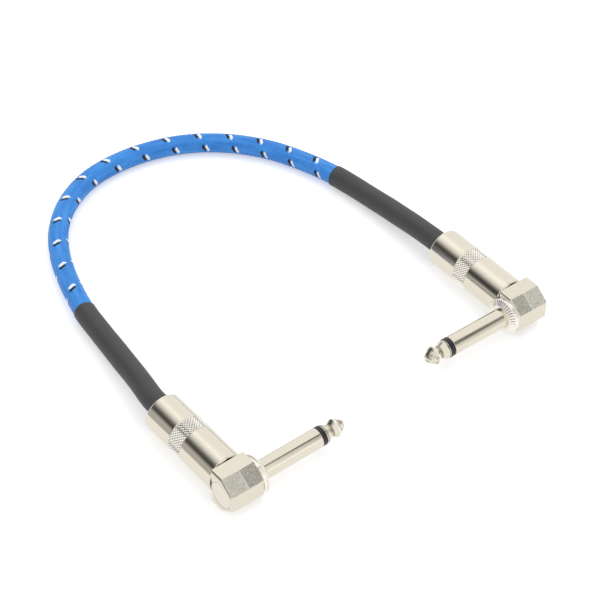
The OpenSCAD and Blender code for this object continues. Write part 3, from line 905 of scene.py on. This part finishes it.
def makeElbows():
    low, high = reach("elbow")
    neckEnd = high[0]
    root = elbow["threadRoot"]
    threadStart = elbow["underBarrel"] + 0.3
    steps = int((neckEnd - threadStart) / elbow["threadPitch"] * 14)
    inside = elbow["underBarrel"] - 0.5
    neckOutline = [
        (inside, 0), (inside, root),
        *[(u, root) for u in np.linspace(threadStart, neckEnd - 0.3, steps)],
        (neckEnd, root - 0.3), (neckEnd, 0),
    ]
    neck = lathe("neck", neckOutline, "barrel", 72, neckRelief(threadStart, neckEnd), closed=False)
    hole = elbow["neckBore"]
    boreOutline = [(0, 0), (0, hole), (neckEnd + 1, hole), (neckEnd + 1, 0)]
    bore = lathe("bore", boreOutline, "barrel", 72, closed=False)
    block = addObject("elbowBlock", makeElbowBlock(low, high))
    bpy.context.view_layer.update()
    booleanOf(block, addObject("neck", neck), "UNION")
    booleanOf(block, addObject("bore", bore), "DIFFERENCE")
    mesh = tidyMesh(block.data, 30)
    bpy.data.objects.remove(block)
    mesh.materials.clear()
    look = nickelMaterial("castNickel", "X", elbow["roughness"], 0.2, 1.0, elbowMarks)
    addPair("Elbow", mesh, look, "elbow")


makeElbows()


# Elbow caps

cap = {
    "roughness": 0.2,
    "paler": 0.2,  # share of the edge colour in the cap's
}


def capMarks(look, place, colour, rough, height):
    return look.mix(cap["paler"], colour, nickel["edge"]), rough, height, 1.0


def makeCaps():
    low, high = reach("elbow_cap")
    radius = (high[2] - low[2]) / 2
    outline = rounded([
        (low[1], 0, 0), (low[1], radius, 0.14), (high[1], radius, 0.08), (high[1], 0, 0),
    ], closed=False)
    mesh = lathe("cap", outline, "shaft", closed=False)
    mesh.transform(Matrix.Translation((-elbow["seatOffset"] * mm, 0, 0)))
    look = nickelMaterial("capNickel", "Y", cap["roughness"], 0.4, 0.0, capMarks)
    addPair("ElbowCap", mesh, look, "elbow_cap")


makeCaps()


# Shafts with their collars

sleeve = {
    "radius": 3.175, "bore": 2.3, "spigot": 2.98,
    "boss": 5.6,  # its flat is level with the elbow's face under the barrel
    "elbowEnd": 5.6,
    "collarRadius": 6.0,
    "collarStart": 6.65, "collarBand": 0.45, "bevelLength": 1.1, "front": 1.0,
    "serrations": 36, "serrationDepth": 0.22,
    # painted light on the collar
    "bright": (0.99, 0.95, 0.87),
    "paintedLightFrom": (3.5, 3.9),  # radius from which the collar carries painted light
    "paintedLightRough": 0.1, "paintedLightMetallic": 0.78,
    "roughness": 0.08,
}


def collarRelief(start, bevelStart, sleeveStart):
    def relief(along, out, angle):
        across = sleeve["serrations"] * angle / (2 * math.pi)
        valley = np.clip(1 - 4 * offWhole(across), 0, 1)
        onRim = out > sleeve["radius"] + sleeve["front"] - 0.1
        fade = np.clip((along - start) / 0.35, 0.35, 1) * np.clip((out - 4.1) / 0.25, 0, 1)
        onCollar = onRim & (along > start + 0.02) & (along < sleeveStart + 0.02)
        return np.where(onCollar, -sleeve["serrationDepth"] * valley * fade, 0), None

    return relief


# Pares the boss down to its flat on the barrel's side
def flattenBoss(mesh, start, end):
    flat = elbow["underBarrel"] * mm
    for corner in mesh.vertices:
        x, y, z = corner.co
        if start * mm - 1e-6 < y < end * mm - 1e-5 and x > flat and math.hypot(x, z) > 5 * mm:
            corner.co.x = flat


# Painted light on the collar: it is paler, rougher and less metallic than the shaft
def sleeveMarks(look, place, colour, rough, height):
    radius = look.radius(look.split(place, "X"), look.split(place, "Z"))
    collar = look.step(radius, *sleeve["paintedLightFrom"])
    colour = look.mix(collar, colour, sleeve["bright"])
    rough = rough + collar * sleeve["paintedLightRough"]
    return colour, rough, height, 1 - collar * (1 - sleeve["paintedLightMetallic"])


def makeSleeves():
    low, high = reach("sleeve")
    back, end = low[1], high[1]
    start = sleeve["collarStart"]
    bevelStart = start + sleeve["collarBand"]
    sleeveStart = bevelStart + sleeve["bevelLength"]
    bevelRadius = sleeve["radius"] + sleeve["front"]
    radius, rim, length = sleeve["radius"], sleeve["collarRadius"], sleeve["bevelLength"]
    outline = rounded([
        (back, sleeve["bore"], 0.06), (back, sleeve["spigot"], 0.06),
        (sleeve["elbowEnd"], sleeve["spigot"], 0), (sleeve["elbowEnd"], sleeve["boss"], 0.06),
        (start - 0.01, sleeve["boss"], 0), (start, 4, 0), (start, rim, 0.08), (bevelStart, rim, 0.1),
        (bevelStart + 0.4 * length, 5.27, 0), (bevelStart + 0.8 * length, 4.54, 0),
        (sleeveStart, bevelRadius, 0.1), (sleeveStart, radius, 0.05), (sleeveStart + 1, radius, 0),
        (end - 1, radius, 0), (end, radius, 0.1), (end, sleeve["bore"], 0.05),
    ])
    mesh = lathe("sleeve", outline, "shaft", sleeve["serrations"] * 8,
                 collarRelief(start, bevelStart, sleeveStart))
    flattenBoss(mesh, sleeve["elbowEnd"], start)
    look = nickelMaterial("shaftNickel", "Y", sleeve["roughness"], 0.7, 0.0, sleeveMarks)
    addPair("Sleeve", mesh, look, "sleeve")


makeSleeves()


# Black rings

def plasticMaterial(name, dark, light, roughness, fleck=1.5):
    look = Look(name)
    place = look.place()
    cloudy = look.noise(place, fleck, 4)
    grain = look.noise(place, fleck * 12, 2)
    return look.finish({
        "Base Color": look.mix(cloudy, dark, light),
        "Roughness": roughness + (cloudy - 0.5) * 0.14,
        "Normal": look.bump(grain, 0.006 * mm, 0.4),
    })


ring = {
    "bore": 1.3, "rounding": 0.12, "roughness": 0.22,
    "dark": (0.008, 0.008, 0.009),
    "light": (0.018, 0.018, 0.02),
}


def makeRings():
    low, high = reach("insulator_ring")
    radius = (high[2] - low[2]) / 2
    bore, rounding = ring["bore"], ring["rounding"]
    outline = rounded([
        (low[1], bore, 0), (low[1], radius, rounding),
        (high[1], radius - 0.02, rounding), (high[1], bore, 0),
    ])
    mesh = lathe("ring", outline, "shaft")
    look = plasticMaterial("blackInsulator", ring["dark"], ring["light"], ring["roughness"])
    addPair("InsulatorRing", mesh, look, "insulator_ring")


makeRings()


# Tips

tip = {
    "hole": 1.22, "holeDepth": 1.6, "shoulder": 3.0, "neck": 2.05, "head": 3.05,
    "nose": 1.5, "noseLength": 0.7,
    # painted shade in the groove and the neck; dark patches on the nose as painted reflection
    "dark": (0.14, 0.12, 0.10),
    "paintedReflection": (0.36, 0.31, 0.24),
    "roughness": 0.07,
    "groovePlace": (0.42, 0.17, 0.06),  # middle, and where the mark starts and is full beside it
    "neckPlace": (2.85, 0.62, 0.1),
    "edgePlace": (4.65, 0.3, 0.12),
    "patchAlong": (4.75, 4.95), "patchNoise": (0.44, 0.6),
}


# Painted shade in the groove and the neck, a painted highlight on the edge of the head, and patches of painted
# reflection on the nose
def tipMarks(start):
    def extra(look, place, colour, rough, height):
        along = look.split(place, "Y") - start

        def band(middle, start, full):
            return look.step(abs(along - middle), start, full)

        groove, neck, edge = [band(*tip[part + "Place"]) for part in ("groove", "neck", "edge")]
        # painted shade in the groove and the neck, painted reflection on the nose, painted highlight on the edge
        colour = look.mix(groove * 0.85, colour, tip["dark"])
        colour = look.mix(neck * (0.4 + 0.6 * look.noise(place, 1.6, 2)), colour, tip["dark"])
        reflectionPatches = look.step(look.noise(place, 0.9, 3, 0.6), *tip["patchNoise"])
        reflectionPatches = look.step(along, *tip["patchAlong"]) * reflectionPatches
        colour = look.mix(reflectionPatches * 0.8, colour, tip["paintedReflection"])
        colour = look.mix(edge, colour, nickel["edge"])
        return colour, rough, height, 1.0

    return extra


def makeTips():
    low, high = reach("tip")
    start, end = low[1], high[1]
    noseLength, turned = tip["noseLength"], 0.6  # the nose's arc starts this far round
    nose = [
        (end - noseLength + noseLength * (math.sin(a) - math.sin(turned)) / (1 - math.sin(turned)),
         tip["nose"] * math.cos(a) / math.cos(turned), 0)
        for a in np.linspace(turned, math.pi / 2, 9)
    ]
    deep, hole = tip["holeDepth"], tip["hole"]
    shoulder, neck, head = tip["shoulder"], tip["neck"], tip["head"]
    profile = [
        (deep, 0, 0), (deep, hole, 0), (0, hole, 0), (0, shoulder, 0.1), (0.3, shoulder, 0.04),
        (0.42, shoulder - 0.14, 0.05), (0.54, shoulder, 0.04), (0.9, shoulder, 0.16),
        (2.7, neck, 0.3), (3, neck, 0.16), (3.95, head - 0.35, 0.12), (4.5, head - 0.02, 0.12),
        (4.8, head - 0.02, 0.12), (5.1, head - 0.15, 0.12),
    ]
    outline = rounded([(start + u, out, setback) for u, out, setback in profile] + nose, closed=False)
    mesh = lathe("tip", outline, "shaft", closed=False)
    look = nickelMaterial("tipNickel", "Y", tip["roughness"], 0.5, 0.0, tipMarks(start))
    addPair("Tip", mesh, look, "tip")


makeTips()


# Inside the plugs

def metalMaterial(name, bright, dull, roughness):
    look = Look(name)
    place = look.place()
    cloudy = look.noise(place, 0.8, 4)
    scratches = look.noise(place, 11, 3, 0.7)
    return look.finish({
        "Base Color": look.mix(cloudy, bright, dull),
        "Metallic": 1.0,
        "Roughness": roughness + (cloudy - 0.5) * 0.2,
        "Normal": look.bump(scratches, 0.005 * mm, 0.6),
    })


def dressInside():
    brass = metalMaterial("plainBrass", (0.72, 0.50, 0.18), (0.60, 0.40, 0.14), 0.28)
    copper = metalMaterial("bareCopper", (0.80, 0.40, 0.24), (0.66, 0.30, 0.17), 0.34)
    strip = metalMaterial("platedStrip", (0.66, 0.64, 0.60), (0.58, 0.56, 0.53), 0.3)
    milky = plasticMaterial("milkyTube", (0.70, 0.70, 0.65), (0.78, 0.78, 0.74), 0.42)
    core = plasticMaterial("coreInsulation", (0.78, 0.78, 0.72), (0.84, 0.84, 0.80), 0.38)
    fibre = plasticMaterial("hardFibre", (0.28, 0.06, 0.035), (0.36, 0.09, 0.05), 0.6, 4)
    rubber = plasticMaterial("rubberSheath", (0.012, 0.012, 0.012), (0.022, 0.022, 0.022), 0.62, 3)
    black = plasticMaterial("innerInsulator", (0.009, 0.009, 0.01), (0.016, 0.016, 0.018), 0.35)
    looks = {
        "liner": milky, "inner_insulator": black, "centre_rod": brass, "rear_washer": fibre,
        "tip_lug": brass, "cable_clamp": strip, "sheath": rubber, "shield": copper,
        "dielectric": core, "conductor": copper,
    }
    for side in plugs:
        for node, look in looks.items():
            piece = frame["nodes"][side + "_" + node]
            piece.data.materials.clear()
            piece.data.materials.append(look)
    print("the inside is dressed,", len(looks), "pieces a plug")


dressInside()


# Floor, lights and surroundings

studio = {
    "floorSize": 8,
    "floorColour": (0.80, 0.80, 0.81),
    "floorPale": (0.84, 0.84, 0.86),
    "floorGlow": 0.42,  # the floor's own light, in the picture
    "floorShine": 0.81,  # and in reflections
    "shineFlat": 0.75,  # share of its shading that reflections leave out
    "ambient": 0.86,
    "lampPower": 3.6, "lampSize": 1.4,
    "lampPlace": (0.25, 0.45, 1.15),
    "streak": 0.80,
    "streakAim": (150, 50),  # bearing and elevation, in degrees
    "streakRadius": 35.6,
    "streakEdge": (6.5, 1.5),  # degrees off that radius
    "streakSpan": ((0.36, 0.17), (-0.36, -0.29)),  # its two ends, from far to near
    "streakHigh": (0.58, 0.66),  # height from which it is wider and darker
    "lowRight": 0.35,
    "lowRightEdges": ((0.55, 0.8), (0.42, 0.25), (-0.37, -0.42)),  # left, top and nearest
    "glare": 0.17,
    "glares": [((-32, 58), (24, 4)), ((116, 12), (14, 3))],  # their aims and edges
}


# A flat sheet beside the object
def stageSheet(name, corners, material):
    mesh = bpy.data.meshes.new(name)
    mesh.from_pydata(corners, [], [(0, 1, 2, 3)])
    mesh.materials.append(material)
    addObject(name, mesh)


def makeFloor():
    look = Look("paper")
    place = look.place(0.02)
    tone = look.noise(place, 3, 2)
    pale = look.mix(tone * 0.2, studio["floorColour"], studio["floorPale"])
    seen, glossy = look.ray("Camera"), look.ray("Glossy")
    pale = look.mix(glossy * studio["shineFlat"], pale, (0.0, 0.0, 0.0))
    matt = look.node("BsdfDiffuse", {}, {"Color": pale})
    strength = seen * studio["floorGlow"] + glossy * studio["floorShine"]
    glow = look.node("Emission", {}, {"Strength": strength})
    half = studio["floorSize"] / 2
    corners = [(-half, -half, 0), (half, -half, 0), (half, half, 0), (-half, half, 0)]
    stageSheet("floor", corners, look.surface(look.node("AddShader", {}, [matt, glow])))


# What the metal sees beyond the boards: white walls, with a dark streak on the right. The
# camera sees white, and everything else is lit evenly
def makeWorld():
    world = bpy.data.worlds.new("studio")
    bpy.context.scene.world = world
    look = Look("studio", world)
    way = look.node("TexCoord", {}, [], "Generated")
    x, y, z = look.axes(way)
    level = (x * x + y * y + 1e-6).sum("SQRT")
    height = z.sum("ARCSINE") * (2 / math.pi)  # 0 at the horizon, 1 overhead
    sideways, ahead = x / level, y / level  # each from -1 to 1

    def degreesFrom(bearing, elevation):
        a, b = math.radians(bearing), math.radians(elevation)
        aim = (math.sin(a) * math.cos(b), math.cos(a) * math.cos(b), math.sin(b))
        near = look.node("VectorMath", {"operation": "DOT_PRODUCT"}, [way, aim], "Value")
        return near.sum("ARCCOSINE") * (180 / math.pi)

    # the streak is an arc of a ring, which is larger and darker high up
    high = look.step(height, *studio["streakHigh"])
    radius = studio["streakRadius"] + high * 3
    streak = look.step(abs(degreesFrom(*studio["streakAim"]) - radius), *studio["streakEdge"])
    far, near = studio["streakSpan"]
    streak = streak * look.step(ahead, *far) * look.step(ahead, *near) * studio["streak"]
    streak = streak * (1 + high * 0.15)
    left, top, nearest = studio["lowRightEdges"]
    lowRight = look.step(sideways, *left) * look.step(height, *top)
    lowRight = lowRight * (1 - look.step(ahead, *nearest))
    glare = sum(look.step(degreesFrom(*aim), *edge) for aim, edge in studio["glares"])
    walls = (1 - streak) * (1 - lowRight * studio["lowRight"]) + glare * studio["glare"]
    colour = look.mix(look.ray("Glossy"), (studio["ambient"],) * 3, walls)
    colour = look.mix(look.ray("Camera"), colour, (1.0, 1.0, 1.0))
    look.surface(look.node("Background", {}, {"Color": colour}), "World")


# Boards on the left, which only reflections see. Their tones run upwards, and the far end
# of each fades to the tone beyond
boards = {
    "lowBoard": {
        "x": -0.18, "y": (-0.35, 0.15), "height": 0.11,
        "tones": [(0, 0.46), (0.47, 0.50), (0.55, 0.45), (0.65, 0.22), (0.77, 0.12), (0.9, 0.06)],
        "end": (0.735, 0.78), "beyond": 0.13,
    },
    "tallBoard": {
        "x": -0.5, "y": (-0.7, 0.7), "height": 1.1,
        "tones": [
            (0, 0.12), (0.13, 0.06), (0.30, 0.05), (0.40, 0.18), (0.50, 0.46), (0.66, 0.82), (0.86, 1.0),
        ],
        "end": (0.8, 1.0), "beyond": 1.0,
    },
}


def makeBoard(name):
    board = boards[name]
    look = Look(name)
    own = look.node("TexCoord", {}, [], "Generated")
    tone = look.ramp(look.split(own, "Z"), board["tones"])
    end = look.step(look.split(own, "Y"), *board["end"])
    tone = look.mix(end, tone, (board["beyond"],) * 3)
    shine = look.node("Emission", {}, {"Color": tone})
    clear = look.node("BsdfTransparent", {}, {})
    material = look.surface(look.node("MixShader", {}, [look.ray("Glossy"), clear, shine]))
    x, (near, far), top = board["x"], board["y"], board["height"]
    stageSheet(name, [(x, near, 0), (x, far, 0), (x, far, top), (x, near, top)], material)


def makeLamp():
    data = bpy.data.lights.new("softbox", "AREA")
    data.shape = "DISK"
    data.size = studio["lampSize"]
    data.energy = studio["lampPower"]
    lamp = addObject("softbox", data)
    lamp.location = studio["lampPlace"]
    lamp.rotation_euler = (-Vector(studio["lampPlace"])).to_track_quat("-Z", "Y").to_euler()
    lamp.visible_glossy = False


makeFloor()
makeWorld()
for name in boards:
    makeBoard(name)
makeLamp()
bpy.context.scene.view_settings.view_transform = "Standard"
print("floor, walls and lamp are set")
